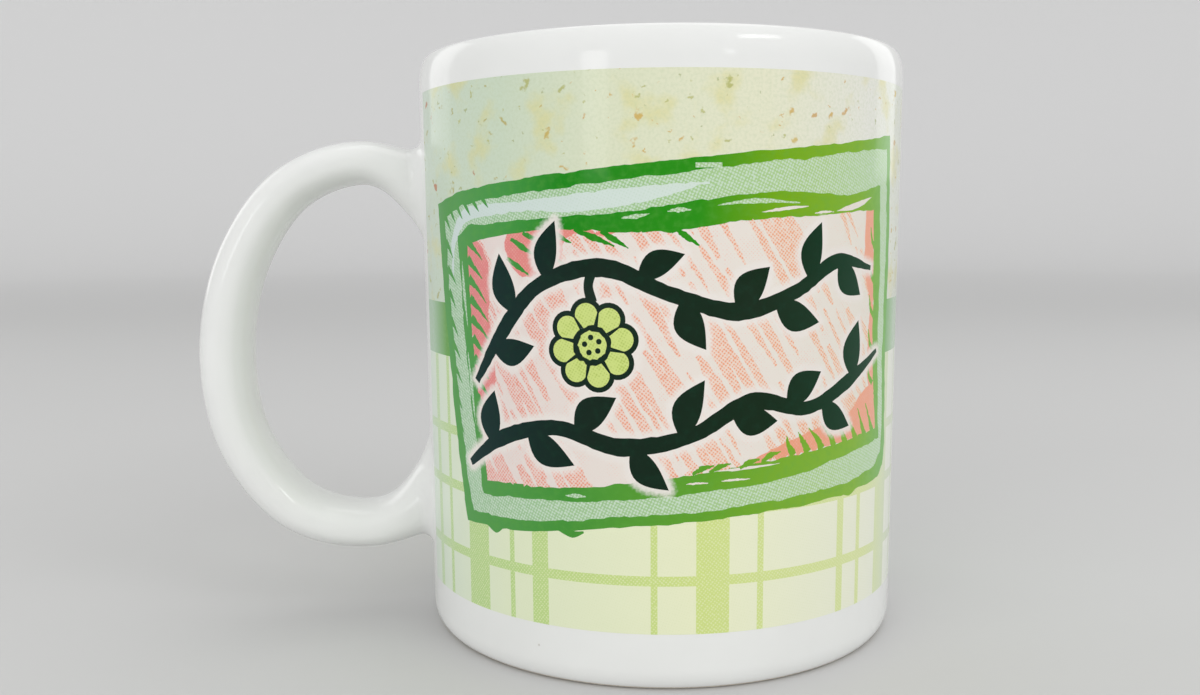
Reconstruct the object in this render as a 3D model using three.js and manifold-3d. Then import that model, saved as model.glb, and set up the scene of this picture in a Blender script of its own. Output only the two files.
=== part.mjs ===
// A straight-sided ceramic mug with a loop handle and a printed wrap, in millimetres, +Z up.
// The cup stands on z = 0. Its handle points along -X, and the whole mug is centred on x = y = 0.
import * as THREE from 'three';
import { mergeVertices } from 'three/addons/utils/BufferGeometryUtils.js';
import Module from 'manifold-3d';

// Cup: a slightly tapered wall with a rounded lip, a rounded lower corner and a raised foot ring.
const HEIGHT = 96;
const TOP_RADIUS = 41;
const BOTTOM_RADIUS = 40.4;
const WALL = 4.3;
const LIP_WIDTH = 3.5;
const LIP_OUTER = { across: 1.4, down: 4.5 };
const FLOOR_TOP = 6.8;
const FLOOR_CORNER = 6;
const LOWER_CORNER = { across: 1.8, up: 3.4 };
const FOOT_INNER_RADIUS = 34.5;
const FOOT_RECESS = 1.8;
const FOOT_SLOPE = 1.2;

// Handle: a bar with a flattened oval section that widens where it meets the wall.
// Its centreline runs through these (distance from the cup's axis, height) pairs, top root first.
const HANDLE_LINE = [
  [36.5, 73.3], [50.3, 79], [62.5, 75.1], [71.1, 63.6], [74.8, 47.4],
  [72.3, 31.1], [63.2, 19.4], [49.8, 16.5], [33.8, 24.6],
];
const BAR_HALF_WIDTH = 7;
const BAR_HALF_THICKNESS = { top: 3.4, outside: 4.3, bottom: 3.6 };
const ROOT_FLARE = { top: 3.5, bottom: 5 };
const FLARE_REACH = 0.06;
const BAR_SQUARENESS = 2.4;

// Slip joints: a concave ring of clay slip where each handle root meets the wall.
const SLIP_FILLET = 2.6;
const SLIP_STEPS = 4;
const UPPER_ROOT = { inside: 0, outside: 0.2 };
const LOWER_ROOT = { inside: 1, outside: 0.8 };

// Printed wrap: a thin coloured coat around the wall, open where the handle is.
const PRINT_BOTTOM = 8.9;
const PRINT_TOP = 89.8;
const PRINT_GAP = 0.1;
const PRINT_THICKNESS = 0.2;
const PRINT_OPEN_HALF_ANGLE = THREE.MathUtils.degToRad(13);

const CLEARANCE = 0.3;
const ROUND_SEGMENTS = 64;
const ARC_STEPS = 4;
const BAR_SIDES = 24;
const BAR_STEPS = 44;
const HALVINGS = 24;
const SIDEWAYS = new THREE.Vector3(0, 1, 0);

const wasm = await Module();
wasm.setup();

// The outside radius of the wall at a height.
function wallRadius(z) {
  return BOTTOM_RADIUS + (TOP_RADIUS - BOTTOM_RADIUS) * z / HEIGHT;
}

// A solid with shared corners, without the empty triangles that a lathe leaves on its axis.
function toSolid(geometry) {
  const plain = geometry.clone();
  plain.deleteAttribute('normal');
  plain.deleteAttribute('uv');
  const merged = mergeVertices(plain, 1e-4);
  const index = merged.index.array;
  const corners = [];
  for (let i = 0; i < index.length; i += 3) {
    const [a, b, c] = [index[i], index[i + 1], index[i + 2]];
    if (a !== b && b !== c && c !== a) corners.push(a, b, c);
  }
  return new wasm.Manifold(new wasm.Mesh({
    numProp: 3,
    vertProperties: new Float32Array(merged.attributes.position.array),
    triVerts: new Uint32Array(corners),
  }));
}

function toGeometry(solid) {
  const mesh = solid.getMesh();
  const geometry = new THREE.BufferGeometry();
  geometry.setAttribute('position', new THREE.BufferAttribute(mesh.vertProperties, 3));
  geometry.setIndex(new THREE.BufferAttribute(mesh.triVerts, 1));
  return geometry;
}

// Turns an outline of (radius, height) points about the vertical axis.
function turned(outline) {
  const geometry = new THREE.LatheGeometry(outline, ROUND_SEGMENTS);
  geometry.rotateX(Math.PI / 2);
  geometry.rotateZ(Math.PI / 2);
  return toSolid(geometry);
}

function cupBody() {
  const lipTopRadius = TOP_RADIUS - LIP_OUTER.across;
  const lipInnerRadius = TOP_RADIUS - LIP_WIDTH;
  const lipRound = (lipTopRadius - lipInnerRadius) / 2;
  const lipCentre = HEIGHT - lipRound;
  const innerRadius = BOTTOM_RADIUS - WALL;
  const cornerRadius = wallRadius(LOWER_CORNER.up);
  const lipBase = HEIGHT - LIP_OUTER.down;
  const outline = new THREE.Path();
  outline.moveTo(0, FOOT_RECESS);
  outline.lineTo(FOOT_INNER_RADIUS - FOOT_SLOPE, FOOT_RECESS);
  outline.lineTo(FOOT_INNER_RADIUS, 0);
  outline.lineTo(cornerRadius - LOWER_CORNER.across, 0);
  outline.absellipse(
    cornerRadius - LOWER_CORNER.across, LOWER_CORNER.up,
    LOWER_CORNER.across, LOWER_CORNER.up, -Math.PI / 2, 0, false,
  );
  outline.lineTo(wallRadius(lipBase), lipBase);
  outline.absellipse(
    wallRadius(lipBase) - LIP_OUTER.across, lipBase,
    LIP_OUTER.across, LIP_OUTER.down, 0, Math.PI / 2, false,
  );
  outline.absarc(lipInnerRadius + lipRound, lipCentre, lipRound, Math.PI / 2, Math.PI, false);
  outline.lineTo(innerRadius, FLOOR_TOP + FLOOR_CORNER);
  outline.absarc(
    innerRadius - FLOOR_CORNER, FLOOR_TOP + FLOOR_CORNER,
    FLOOR_CORNER, 0, -Math.PI / 2, true,
  );
  outline.lineTo(0, FLOOR_TOP);
  return turned(outline.getPoints(ARC_STEPS));
}

// Everything inside the wall's outer face, with the clearance that its neighbours keep.
function wallCutter() {
  return turned([
    new THREE.Vector2(0, -CLEARANCE),
    new THREE.Vector2(wallRadius(0) + CLEARANCE, -CLEARANCE),
    new THREE.Vector2(wallRadius(HEIGHT) + CLEARANCE, HEIGHT + CLEARANCE),
    new THREE.Vector2(0, HEIGHT + CLEARANCE),
  ]);
}

const handleLine = new THREE.CatmullRomCurve3(HANDLE_LINE.map(([r, z]) => new THREE.Vector3(-r, 0, z)));

function barHalfThickness(share) {
  const half = BAR_HALF_THICKNESS;
  const end = share < 0.5 ? half.top : half.bottom;
  const plain = THREE.MathUtils.lerp(end, half.outside, 1 - Math.abs(2 * share - 1));
  const topFlare = ROOT_FLARE.top * Math.exp(-((share / FLARE_REACH) ** 2));
  const bottomFlare = ROOT_FLARE.bottom * Math.exp(-(((1 - share) / FLARE_REACH) ** 2));
  return plain + topFlare + bottomFlare;
}

function squared(value) {
  return Math.sign(value) * Math.abs(value) ** (2 / BAR_SQUARENESS);
}

// A point of the bar's skin at a share of its centreline. (across, aside) is its place on a unit circle
// that stands for the section, and extra is how far it is moved out of the skin.
function skinPoint(share, across, aside, extra) {
  const point = handleLine.getPoint(share);
  const normal = new THREE.Vector3().crossVectors(handleLine.getTangent(share), SIDEWAYS);
  point.addScaledVector(normal, squared(across) * (barHalfThickness(share) + extra));
  point.addScaledVector(SIDEWAYS, squared(aside) * (BAR_HALF_WIDTH + extra));
  return point;
}

// The handle: an upright cylinder laid along the centreline, and cut off at the wall.
function handle() {
  const geometry = new THREE.CylinderGeometry(1, 1, 1, BAR_SIDES, BAR_STEPS);
  const position = geometry.attributes.position;
  for (let i = 0; i < position.count; i++) {
    const share = position.getY(i) + 0.5;
    const point = skinPoint(share, position.getX(i), position.getZ(i), 0);
    position.setXYZ(i, point.x, point.y, point.z);
  }
  return toSolid(geometry).subtract(wallCutter());
}

// The point of the skin, moved out by extra, that is fromWall outside the wall near one root.
function pointNearWall(root, across, aside, extra, fromWall) {
  let { inside, outside } = root;
  for (let i = 0; i < HALVINGS; i++) {
    const middle = (inside + outside) / 2;
    const point = skinPoint(middle, across, aside, extra);
    if (Math.hypot(point.x, point.y) - wallRadius(point.z) < fromWall) inside = middle;
    else outside = middle;
  }
  return skinPoint(outside, across, aside, extra);
}

// The ring's section as (out of the bar's skin, out of the wall) pairs: a corner and a concave
// quarter round, kept clear of the bar and of the wall.
function slipSection() {
  const steepest = Math.asin(1 - CLEARANCE / SLIP_FILLET);
  const section = [[CLEARANCE, CLEARANCE]];
  for (let i = 0; i <= SLIP_STEPS; i++) {
    const angle = THREE.MathUtils.lerp(Math.PI / 2 - steepest, steepest, i / SLIP_STEPS);
    section.push([SLIP_FILLET * (1 - Math.sin(angle)), SLIP_FILLET * (1 - Math.cos(angle))]);
  }
  return section;
}

// Carries the section once round the bar, close to the wall.
function slipJoint(root) {
  const section = slipSection();
  const count = section.length;
  const vertices = [];
  const index = [];
  for (let side = 0; side < BAR_SIDES; side++) {
    const turn = (2 * Math.PI * side) / BAR_SIDES;
    for (let k = 0; k < count; k++) {
      const [extra, fromWall] = section[k];
      const point = pointNearWall(root, Math.sin(turn), Math.cos(turn), extra, fromWall);
      vertices.push(point.x, point.y, point.z);
      const here = side * count + k;
      const along = side * count + ((k + 1) % count);
      const round = ((side + 1) % BAR_SIDES) * count + k;
      const both = ((side + 1) % BAR_SIDES) * count + ((k + 1) % count);
      if (root.inside < root.outside) index.push(here, round, both, here, both, along);
      else index.push(here, both, round, here, along, both);
    }
  }
  const geometry = new THREE.BufferGeometry();
  geometry.setAttribute('position', new THREE.Float32BufferAttribute(vertices, 3));
  geometry.setIndex(index);
  return toSolid(geometry);
}

function printedWrap() {
  const low = wallRadius(PRINT_BOTTOM) + PRINT_GAP;
  const high = wallRadius(PRINT_TOP) + PRINT_GAP;
  const sleeve = turned([
    new THREE.Vector2(low, PRINT_BOTTOM),
    new THREE.Vector2(low + PRINT_THICKNESS, PRINT_BOTTOM),
    new THREE.Vector2(high + PRINT_THICKNESS, PRINT_TOP),
    new THREE.Vector2(high, PRINT_TOP),
    new THREE.Vector2(low, PRINT_BOTTOM),
  ]);
  const reach = 2 * TOP_RADIUS;
  const halfOpen = reach * Math.tan(PRINT_OPEN_HALF_ANGLE);
  const wedge = new THREE.Shape([
    new THREE.Vector2(0, 0),
    new THREE.Vector2(-reach, halfOpen),
    new THREE.Vector2(-reach, -halfOpen),
  ]);
  const opening = new THREE.ExtrudeGeometry(wedge, { depth: HEIGHT, bevelEnabled: false });
  return sleeve.subtract(toSolid(opening));
}

function named(name, solid, color, roughness) {
  const material = new THREE.MeshStandardMaterial({ color, roughness, metalness: 0 });
  const mesh = new THREE.Mesh(toGeometry(solid), material);
  mesh.name = name;
  return mesh;
}

const mug = new THREE.Group();
mug.add(
  named('cup_body', cupBody(), 0xe9e8e5, 0.12),
  named('handle', handle(), 0xe7e6e3, 0.12),
  named('upper_slip_joint', slipJoint(UPPER_ROOT), 0xe3e2df, 0.18),
  named('lower_slip_joint', slipJoint(LOWER_ROOT), 0xe3e2df, 0.18),
  named('printed_wrap', printedWrap(), 0xcfdcb8, 0.16),
);

// Centres the whole mug on the origin, with its foot at z = 0.
const middle = new THREE.Box3().setFromObject(mug).getCenter(new THREE.Vector3());
mug.position.x = -middle.x;

const group = new THREE.Group();
group.add(mug);

export default group;
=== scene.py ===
"""A printed ceramic mug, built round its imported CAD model. Lengths are in millimetres until placed."""

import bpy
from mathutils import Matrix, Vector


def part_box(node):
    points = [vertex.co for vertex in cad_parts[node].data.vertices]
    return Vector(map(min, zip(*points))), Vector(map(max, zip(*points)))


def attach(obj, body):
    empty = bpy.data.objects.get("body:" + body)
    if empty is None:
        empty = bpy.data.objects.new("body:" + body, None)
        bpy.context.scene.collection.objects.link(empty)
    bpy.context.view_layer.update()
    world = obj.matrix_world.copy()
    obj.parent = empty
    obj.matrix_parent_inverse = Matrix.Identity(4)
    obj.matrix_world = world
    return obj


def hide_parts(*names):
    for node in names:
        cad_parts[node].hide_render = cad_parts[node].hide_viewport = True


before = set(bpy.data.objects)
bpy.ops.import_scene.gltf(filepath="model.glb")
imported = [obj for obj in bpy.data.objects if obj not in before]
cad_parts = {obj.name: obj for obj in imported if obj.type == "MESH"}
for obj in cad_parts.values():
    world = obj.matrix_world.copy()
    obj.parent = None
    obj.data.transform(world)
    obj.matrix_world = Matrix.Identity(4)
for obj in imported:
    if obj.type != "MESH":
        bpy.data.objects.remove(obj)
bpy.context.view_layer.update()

import math
import random

import bpy
import numpy as np
from mathutils import Matrix, Vector
from mathutils.geometry import delaunay_2d_cdt
from mathutils.kdtree import KDTree

MM = 0.001

# The cup, from the CAD node's box.
CUP_LOW, CUP_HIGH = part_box("cup_body")
AXIS_X = (CUP_LOW.x + CUP_HIGH.x) / 2 / MM
HEIGHT = CUP_HIGH.z / MM
TOP_RADIUS = 41.0
BOTTOM_RADIUS = 40.4
WALL = 4.3
LIP_WIDTH = 3.5
LIP_ACROSS = 1.4
LIP_DOWN = 4.5
FLOOR_TOP = 6.8
FLOOR_CORNER = 6.0
CORNER_ACROSS = 1.8
CORNER_UP = 3.4
CORNER_START = -96
FOOT_INNER = 34.5
FOOT_ROUND = 0.35
FOOT_SLOPE = 1.2
RECESS_HEIGHT = 1.8
RECESS_ROUND = 1.0
RECESS_EDGE = 4.0
BARE_HEIGHT = 0.5
CUP_SEGMENTS = 256

# The handle's centreline as (distance from the cup's axis, height), top root first.
HANDLE_LINE = [
    (36.5, 73.3), (50.3, 79.0), (62.5, 75.1), (71.1, 63.6), (74.8, 47.4),
    (72.3, 31.1), (63.2, 19.4), (49.8, 16.5), (33.8, 24.6),
]
BAR_HALF_WIDTH = 7.0
BAR_TOP, BAR_OUTSIDE, BAR_BOTTOM = 3.4, 4.3, 3.6
FLARE_TOP, FLARE_BOTTOM, FLARE_REACH = 3.5, 5.0, 0.06
BAR_SQUARENESS = 2.4
BAR_SIDES = 96
BAR_STEPS = 260
BAR_BURIED = 0.8
SLIP_FILLET = 2.6
SLIP_STEPS = 10
SLIP_UNDER = 0.15
SLIP_SUNK = 0.01

# The print, from the CAD node's box. u runs along the wall from the front (-Y) towards +X, v up it.
WRAP_LOW, WRAP_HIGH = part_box("printed_wrap")
PRINT_BOTTOM = WRAP_LOW.z / MM
PRINT_TOP = WRAP_HIGH.z / MM
AROUND = 2 * math.pi * TOP_RADIUS
HANDLE_U = -AROUND / 4
OPEN_HALF = math.radians(13) * TOP_RADIUS
PRINT_START = HANDLE_U + OPEN_HALF
PRINT_END = HANDLE_U + AROUND - OPEN_HALF


def wall_radius(z):
    return BOTTOM_RADIUS + (TOP_RADIUS - BOTTOM_RADIUS) * z / HEIGHT


# ---- material helpers

# Patterns are per metre, and their heights in metres.
GRAIN_SCALE = 420
GRAIN_HEIGHT = 0.0001
RIPPLE_SCALE = 38
RIPPLE_HEIGHT = 0.0012


def srgb(red, green, blue):
    """A screen colour from 0 to 255 as the linear colour that Blender uses."""
    linear = []
    for value in (red, green, blue):
        share = value / 255
        linear.append(share / 12.92 if share <= 0.04045 else ((share + 0.055) / 1.055) ** 2.4)
    return (*linear, 1.0)


class Nodes:
    """A new material, with short names for the nodes that it is made of."""

    def __init__(self, name):
        self.material = bpy.data.materials.new(name)
        self.material.use_nodes = True
        self.tree = self.material.node_tree
        self.shader = self.tree.nodes["Principled BSDF"]

    def put(self, socket, value):
        if isinstance(value, bpy.types.NodeSocket):
            self.tree.links.new(value, socket)
        else:
            socket.default_value = value

    def add(self, kind, inputs=(), **settings):
        node = self.tree.nodes.new(kind)
        for key, value in settings.items():
            setattr(node, key, value)
        for key, value in dict(inputs).items():
            self.put(node.inputs[key], value)
        return node

    def math(self, operation, *values):
        return self.add("ShaderNodeMath", enumerate(values), operation=operation).outputs[0]

    def vector_math(self, operation, inputs):
        return self.add("ShaderNodeVectorMath", inputs, operation=operation)

    def parts(self, color):
        """The three channels of a colour."""
        return self.add("ShaderNodeSeparateColor", {"Color": color}).outputs

    def ramp(self, factor, stops):
        node = self.add("ShaderNodeValToRGB", {"Fac": factor})
        while len(node.color_ramp.elements) < len(stops):
            node.color_ramp.elements.new(0.5)
        for element, (place, color) in zip(node.color_ramp.elements, stops):
            element.position = place
            element.color = color
        return node.outputs["Color"]

    def mix(self, factor, first, second):
        return self.add("ShaderNodeMix", {0: factor, 6: first, 7: second}, data_type="RGBA").outputs[2]

    def noise(self, scale, detail=2.0, where=None, roughness=0.5):
        where = where or self.place()
        inputs = {"Vector": where, "Scale": scale, "Detail": detail, "Roughness": roughness}
        return self.add("ShaderNodeTexNoise", inputs).outputs["Fac"]

    def place(self):
        return self.add("ShaderNodeTexCoord").outputs["Object"]

    def between(self, value, low, high, first=0.0, second=1.0):
        """Goes smoothly from first to second while the value goes from low to high."""
        inputs = {"Value": value, "From Min": low, "From Max": high, "To Min": first, "To Max": second}
        return self.add("ShaderNodeMapRange", inputs, interpolation_type="SMOOTHSTEP").outputs["Result"]

    def bump(self, height, distance, strength=1.0, under=None):
        node = self.add("ShaderNodeBump", {"Height": height, "Distance": distance, "Strength": strength})
        if under is not None:
            self.put(node.inputs["Normal"], under)
        return node.outputs["Normal"]

    def set(self, name, value):
        self.put(self.shader.inputs[name], value)

    def gloss(self, smoothest, roughest):
        """A hard gloss with a fine grain over a faint broad ripple."""
        grain = self.noise(GRAIN_SCALE, 4)
        self.set("Roughness", self.between(grain, 0.3, 0.7, smoothest, roughest))
        ripple = self.bump(self.noise(RIPPLE_SCALE, 1.5), RIPPLE_HEIGHT, 0.12)
        self.set("Normal", self.bump(grain, GRAIN_HEIGHT, 0.05, ripple))


# ---- camera, floor and light

CAMERA_FROM_CUP = (-27.6, -194.2, 69.0)
CAMERA_AIM = (-10.4, 0.9, 46.5)
CAMERA_ROLL = math.radians(-0.43)
CAMERA_LENS = 33.17
CAMERA_SENSOR = 36

# The camera's near limit, the floor and the lights are in metres.
CAMERA_NEAR = 0.005
FLOOR_RADIUS = 1.4
FLOOR_RINGS = 6
FLOOR_SEGMENTS = 96
COVE_RADIUS = 0.8
COVE_STEPS = 24
FLOOR_NEAR_TINT = (0.62, 0.62, 0.615, 1)
FLOOR_FAR_TINT = (0.94, 0.94, 0.94, 1)
PALE_FROM = 0.3

# Lights as name, place, aim, size, watts and spread in degrees.
FILLS = [
    ("front_left", (-0.75, -0.8, 0.4), (0, 0, 0.05), (0.9, 0.7), 3.6, 180),
    ("front_right", (0.7, -0.65, 0.6), (0, 0, 0.05), (0.9, 0.9), 3.2, 180),
]
WINDOWS = [
    ("left_strip", (-0.6, 0.5, 0.34), (0, 0, 0.05), (0.34, 0.5), 0.12, 90),
    ("right_strip", (0.7, 0.38, 0.34), (0, 0, 0.05), (0.34, 0.5), 0.13, 90),
    ("overhead", (0.1, 0.15, 0.9), (0, 0, 0), (0.8, 0.5), 1.0, 180),
    ("high_window", (0.62, -0.7, 0.66), (0, 0, 0.09), (0.34, 0.12), 0.5, 180),
    ("low_window", (0.42, -0.96, 0.31), (-0.05, 0, 0.03), (0.09, 0.09), 0.05, 180),
    ("left_window", (-0.55, -0.8, 0.22), (-0.05, 0, 0.03), (0.2, 0.24), 0.3, 180),
]
WORLD_STRENGTH = 0.62


def new_object(name, data):
    thing = bpy.data.objects.new(name, data)
    bpy.context.scene.collection.objects.link(thing)
    return thing


def place_camera():
    data = bpy.data.cameras.new("camera")
    data.lens = CAMERA_LENS
    data.sensor_width = CAMERA_SENSOR
    data.clip_start = CAMERA_NEAR
    camera = new_object("camera", data)
    eye = Vector(CAMERA_FROM_CUP) + Vector((AXIS_X, 0, 0))
    aim = Vector(CAMERA_AIM) + Vector((AXIS_X, 0, 0))
    turn = (aim - eye).to_track_quat("-Z", "Y").to_matrix() @ Matrix.Rotation(CAMERA_ROLL, 3, "Z")
    camera.matrix_world = Matrix.Translation(eye * MM) @ turn.to_4x4()
    bpy.context.scene.camera = camera


def make_floor():
    """A round pale floor that curves up all round, so that it has no edge to see."""
    outline = [(FLOOR_RADIUS * k / FLOOR_RINGS, 0.0) for k in range(FLOOR_RINGS + 1)]
    for step in range(1, COVE_STEPS + 1):
        turn = math.pi / 2 * step / COVE_STEPS
        outline.append((FLOOR_RADIUS + COVE_RADIUS * math.sin(turn), COVE_RADIUS * (1 - math.cos(turn))))
    points, faces = [], []
    for k in range(FLOOR_SEGMENTS):
        turn = 2 * math.pi * k / FLOOR_SEGMENTS
        points += [(reach * math.cos(turn), reach * math.sin(turn), height) for reach, height in outline]
        here, there = k * len(outline), (k + 1) % FLOOR_SEGMENTS * len(outline)
        faces += [(here + j, here + j + 1, there + j + 1, there + j) for j in range(len(outline) - 1)]
    mesh = bpy.data.meshes.new("floor")
    mesh.from_pydata(points, [], faces)
    mesh.polygons.foreach_set("use_smooth", [True] * len(faces))
    floor = new_object("floor", mesh)
    nodes = Nodes("floor")
    reach = nodes.vector_math("LENGTH", {0: nodes.place()}).outputs["Value"]
    paleness = nodes.between(reach, PALE_FROM, FLOOR_RADIUS + COVE_RADIUS)
    nodes.set("Base Color", nodes.ramp(paleness, [(0.0, FLOOR_NEAR_TINT), (1.0, FLOOR_FAR_TINT)]))
    nodes.set("Roughness", 0.8)
    mesh.materials.append(nodes.material)


def soft_box(name, place, aim, size, power, spread, mirrored):
    data = bpy.data.lights.new(name, "AREA")
    data.shape = "RECTANGLE"
    data.size, data.size_y = size
    data.energy = power
    data.spread = math.radians(spread)
    light = new_object(name, data)
    light.location = place
    light.rotation_euler = (Vector(aim) - Vector(place)).to_track_quat("-Z", "Y").to_euler()
    light.visible_camera = False
    light.visible_glossy = mirrored


def set_lights():
    """Pale light from all round. The fills are not mirrored in the glaze."""
    world = bpy.data.worlds.new("studio")
    world.use_nodes = True
    sky = world.node_tree.nodes["Background"].inputs
    sky["Color"].default_value = (1, 1, 1, 1)
    sky["Strength"].default_value = WORLD_STRENGTH
    bpy.context.scene.world = world
    for light in FILLS:
        soft_box(*light, mirrored=False)
    for light in WINDOWS:
        soft_box(*light, mirrored=True)
    bpy.context.scene.view_settings.view_transform = "Standard"


place_camera()
make_floor()
set_lights()

# ---- glaze and clay

SPECK_SCALE = 260.0
CLAY_SCALE = 2600


def glaze(name, tint):
    """White glaze: a clear gloss that pools and ripples a little, with a few specks of iron."""
    nodes = Nodes(name)
    pooled = srgb(*[value - 5 for value in tint])
    shade = nodes.ramp(nodes.noise(55, 3), [(0.3, pooled), (0.7, srgb(*tint))])
    cells = nodes.add("ShaderNodeTexVoronoi", {"Vector": nodes.place(), "Scale": SPECK_SCALE})
    spot = nodes.between(cells.outputs["Distance"], 0.035, 0.06, 1.0, 0.0)
    rare = nodes.math("GREATER_THAN", nodes.parts(cells.outputs["Color"])[0], 0.93)
    mark = nodes.math("MULTIPLY", nodes.math("MULTIPLY", spot, rare), 0.35)
    nodes.set("Base Color", nodes.mix(mark, shade, srgb(150, 138, 120)))
    nodes.set("IOR", 1.52)
    nodes.gloss(0.07, 0.12)
    return nodes.material


def bare_clay():
    """The unglazed ring that the mug stands on: fine dry clay with a little grime."""
    nodes = Nodes("bare_clay")
    grain = nodes.noise(CLAY_SCALE, 4, roughness=0.7)
    grime = nodes.between(nodes.noise(90, 4), 0.5, 0.75, 0.0, 0.45)
    dry = nodes.ramp(grain, [(0.3, srgb(196, 188, 174)), (0.7, srgb(226, 220, 208))])
    nodes.set("Base Color", nodes.mix(grime, dry, srgb(150, 142, 130)))
    nodes.set("Roughness", nodes.between(grain, 0.3, 0.7, 0.75, 0.95))
    nodes.set("Normal", nodes.bump(grain, 0.0002, 0.6))
    return nodes.material


# ---- cup, handle and slip joints

SHARP = math.radians(50)
CUP_TINT = (237, 238, 236)
HANDLE_TINT = (236, 237, 235)


def finish_piece(name, points, faces, materials, stands_for):
    """A smooth mesh piece, riding on the mug in place of a CAD node."""
    mesh = bpy.data.meshes.new(name)
    mesh.from_pydata([Vector(point) * MM for point in points], [], faces)
    mesh.validate()
    for material in materials:
        mesh.materials.append(material)
    mesh.polygons.foreach_set("use_smooth", [True] * len(mesh.polygons))
    mesh.set_sharp_from_angle(angle=SHARP)
    piece = new_object(name, mesh)
    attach(piece, "root")
    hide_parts(stands_for)
    return piece


def arc(middle, across, up, start, end, steps):
    """Points of an elliptical arc about a (radius, height) middle, with angles in degrees."""
    points = []
    for step in range(steps + 1):
        angle = math.radians(start + (end - start) * step / steps)
        points.append((middle[0] + across * math.cos(angle), middle[1] + up * math.sin(angle)))
    return points


def straight(first, last, steps):
    """Points strictly between two (radius, height) points."""
    pairs = []
    for step in range(1, steps):
        share = step / steps
        pairs.append(tuple(a + (b - a) * share for a, b in zip(first, last)))
    return pairs


def cup_outline():
    """Half of the cup's section as (radius, height), from its underside round to its inside."""
    corner = wall_radius(CORNER_UP) - CORNER_ACROSS
    lip_base = HEIGHT - LIP_DOWN
    lip_inner = TOP_RADIUS - LIP_WIDTH
    lip_round = (LIP_WIDTH - LIP_ACROSS) / 2
    inner = BOTTOM_RADIUS - WALL
    slope_top = FOOT_INNER - FOOT_SLOPE
    recess_round = (slope_top - RECESS_ROUND, RECESS_HEIGHT - RECESS_ROUND)
    foot_round = (FOOT_INNER + FOOT_ROUND, FOOT_ROUND)
    outline = [(0, RECESS_HEIGHT), (slope_top - RECESS_EDGE, RECESS_HEIGHT)]
    outline += arc(recess_round, RECESS_ROUND, RECESS_ROUND, 90, 30, 4)
    outline += arc(foot_round, FOOT_ROUND, FOOT_ROUND, 180, 270, 4)
    outline += straight((foot_round[0], 0), (corner - FOOT_ROUND, 0), 4)
    outline += arc((corner, CORNER_UP), CORNER_ACROSS, CORNER_UP, CORNER_START, 0, 18)[1:]
    wall_top = (wall_radius(lip_base), lip_base)
    outline += straight(outline[-1], wall_top, 24)
    outline += arc((wall_top[0] - LIP_ACROSS, lip_base), LIP_ACROSS, LIP_DOWN, 0, 90, 16)
    outline += arc((lip_inner + lip_round, HEIGHT - lip_round), lip_round, lip_round, 90, 180, 10)[1:]
    floor_round = (inner - FLOOR_CORNER, FLOOR_TOP + FLOOR_CORNER)
    outline += straight(outline[-1], (inner, floor_round[1]), 16)
    outline += arc(floor_round, FLOOR_CORNER, FLOOR_CORNER, 0, -90, 14)
    outline += straight(outline[-1], (0, FLOOR_TOP), 6)
    outline.append((0, FLOOR_TOP))
    return outline


def make_cup():
    """Turns the outline about the cup's axis. The faces of the foot's flat are bare clay."""
    outline = cup_outline()
    points = [(AXIS_X, 0, outline[0][1])]
    for radius, height in outline[1:-1]:
        for k in range(CUP_SEGMENTS):
            turn = 2 * math.pi * k / CUP_SEGMENTS
            points.append((AXIS_X + radius * math.cos(turn), radius * math.sin(turn), height))
    points.append((AXIS_X, 0, outline[-1][1]))
    rings = len(outline) - 2
    last = len(points) - 1
    top = 1 + (rings - 1) * CUP_SEGMENTS
    faces = []
    for k in range(CUP_SEGMENTS):
        after = (k + 1) % CUP_SEGMENTS
        faces.append((0, 1 + after, 1 + k))
        faces.append((last, top + k, top + after))
        for ring in range(rings - 1):
            here = 1 + ring * CUP_SEGMENTS
            above = here + CUP_SEGMENTS
            faces.append((here + k, here + after, above + after, above + k))
    materials = [glaze("cup_glaze", CUP_TINT), bare_clay()]
    cup = finish_piece("glazed_cup", points, faces, materials, "cup_body")
    for polygon in cup.data.polygons:
        highest = max(cup.data.vertices[k].co.z for k in polygon.vertices)
        if highest < BARE_HEIGHT * MM:
            polygon.material_index = 1


def along(points, share):
    """The place at a share of a smooth curve through the points, and its direction there.

    The curve is a centripetal Catmull-Rom, with an even share for each pair of points.
    """
    last = len(points) - 1
    k = min(int(share * last), last - 1)
    t = share * last - k
    p1, p2 = np.array(points[k], float), np.array(points[k + 1], float)
    p0 = np.array(points[k - 1], float) if k > 0 else 2 * p1 - p2
    p3 = np.array(points[k + 2], float) if k + 2 <= last else 2 * p2 - p1
    d0, d1, d2 = (max(math.sqrt(math.dist(a, b)), 1e-4) for a, b in ((p0, p1), (p1, p2), (p2, p3)))
    m1 = ((p1 - p0) / d0 - (p2 - p0) / (d0 + d1) + (p2 - p1) / d1) * d1
    m2 = ((p2 - p1) / d1 - (p3 - p1) / (d1 + d2) + (p3 - p2) / d2) * d1
    c2 = 3 * (p2 - p1) - 2 * m1 - m2
    c3 = 2 * (p1 - p2) + m1 + m2
    return p1 + m1 * t + c2 * t**2 + c3 * t**3, m1 + 2 * c2 * t + 3 * c3 * t**2


def bar_half_thickness(share):
    end = BAR_TOP if share < 0.5 else BAR_BOTTOM
    plain = end + (BAR_OUTSIDE - end) * (1 - abs(2 * share - 1))
    top = FLARE_TOP * math.exp(-((share / FLARE_REACH) ** 2))
    bottom = FLARE_BOTTOM * math.exp(-(((1 - share) / FLARE_REACH) ** 2))
    return plain + top + bottom


def squared(value):
    return math.copysign(abs(value) ** (2 / BAR_SQUARENESS), value)


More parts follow.
